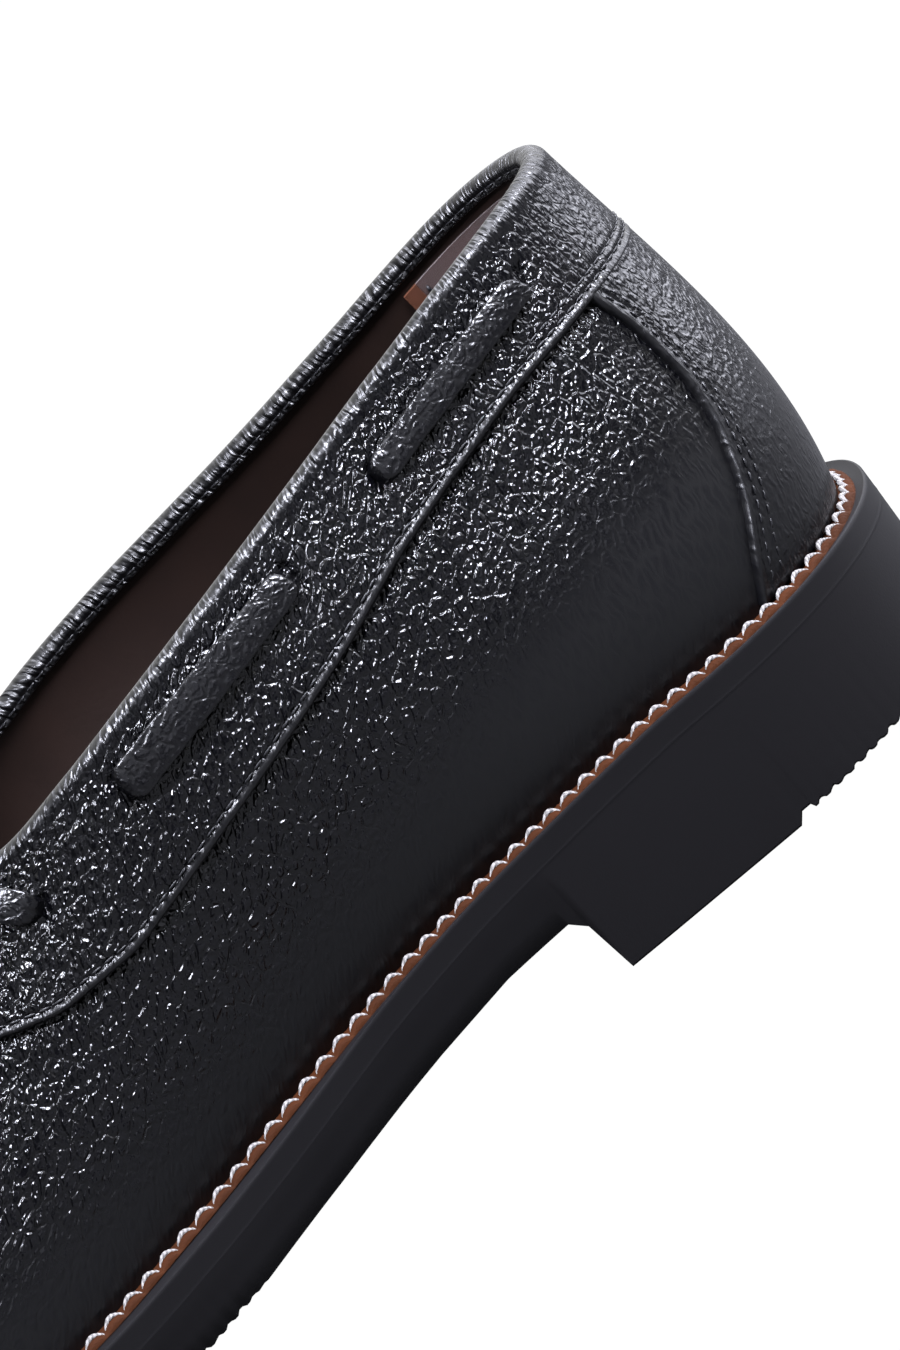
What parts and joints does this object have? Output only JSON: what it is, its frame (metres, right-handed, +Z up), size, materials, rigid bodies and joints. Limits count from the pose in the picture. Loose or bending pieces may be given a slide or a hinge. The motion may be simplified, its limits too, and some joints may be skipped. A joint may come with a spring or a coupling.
{
  "type": "tassel loafer",
  "caption": "Left slip-on shoe with a flat leather lace woven through its collar band, a knot with two tassels, a stitched welt and a thick stepped heel.",
  "frame": {"origin": "on the floor, under the middle of the sole's length and width", "axes": "+X to the toe, +Y to the outer side of this left shoe, +Z up"},
  "size_m": [0.3, 0.1067, 0.0928],
  "materials": {
    "sole_rubber": "matte black moulded foam rubber",
    "welt_leather": "brown ribbed welt leather",
    "insole_leather": "smooth dark brown leather",
    "grain_leather": "glossy black pebbled full-grain leather",
    "lace_leather": "black pebbled leather thong"
  },
  "bodies": {
    "root": {"outsole": "sole_rubber", "welt": "welt_leather", "insole": "insole_leather", "upper": "grain_leather", "collar_band": "grain_leather", "apron": "grain_leather", "heel_counter": "grain_leather", "lace_rear_lateral": "lace_leather", "lace_front_lateral": "lace_leather", "lace_bar_lateral": "lace_leather", "lace_rear_medial": "lace_leather", "lace_front_medial": "lace_leather", "lace_bar_medial": "lace_leather", "lace_knot": "lace_leather", "lace_end_lateral": "lace_leather", "lace_end_medial": "lace_leather", "tassel_lateral": "lace_leather", "tassel_medial": "lace_leather"}
  },
  "joints": []
}
